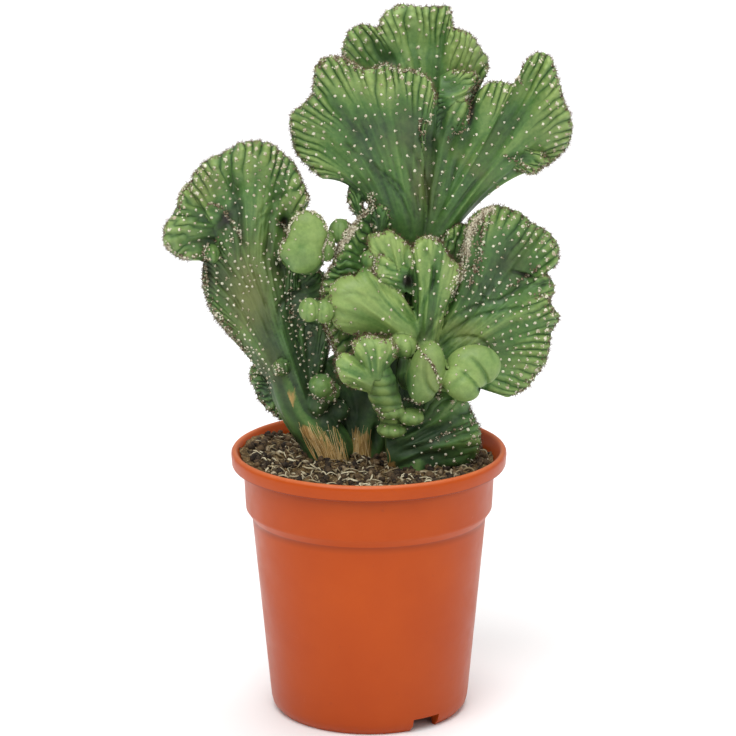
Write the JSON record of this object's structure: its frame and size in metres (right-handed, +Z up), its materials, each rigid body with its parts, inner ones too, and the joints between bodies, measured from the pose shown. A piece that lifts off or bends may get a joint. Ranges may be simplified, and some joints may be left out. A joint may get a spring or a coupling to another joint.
{
  "type": "potted crested blue candle cactus",
  "caption": "Crested columnar cactus with ribbed fan-shaped crests, standing in potting soil in a round tapered nursery pot.",
  "frame": {"origin": "on the pot's axis, in the plane that its foot ring stands on", "axes": "+Z up along the pot's axis; +X to the right and -Y towards the viewer of the front"},
  "size_m": [0.2491, 0.17, 0.4354],
  "materials": {
    "pot_plastic": "satin",
    "peat_soil": "matte",
    "cactus_flesh": "satin",
    "spines_and_wool": "matte"
  },
  "bodies": {
    "root": {"pot": "pot_plastic", "potting_soil": "peat_soil", "left_crest": "cactus_flesh", "upper_crest": "cactus_flesh", "right_crest": "cactus_flesh"}
  },
  "joints": []
}
